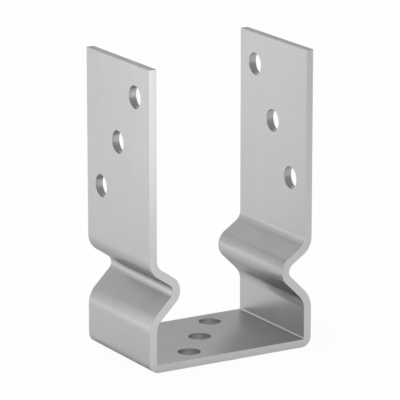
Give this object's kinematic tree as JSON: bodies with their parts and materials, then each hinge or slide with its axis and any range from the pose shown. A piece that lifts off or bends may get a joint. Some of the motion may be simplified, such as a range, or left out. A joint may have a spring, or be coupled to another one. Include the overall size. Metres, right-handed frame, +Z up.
{
  "type": "post base",
  "caption": "Folded steel strip in a tall U with kinked legs, which carries a square post's foot clear of the concrete that its base is bolted to.",
  "frame": {"origin": "middle of the underside of the base", "axes": "+Z up along the legs, +X across from one leg to the other, +Y along the strip's width"},
  "size_m": [0.09, 0.06, 0.1475],
  "materials": {
    "steel": "satin, with a fine grain along the strip and thin bright zinc plating"
  },
  "bodies": {
    "root": {"bracket": "steel"}
  },
  "joints": []
}
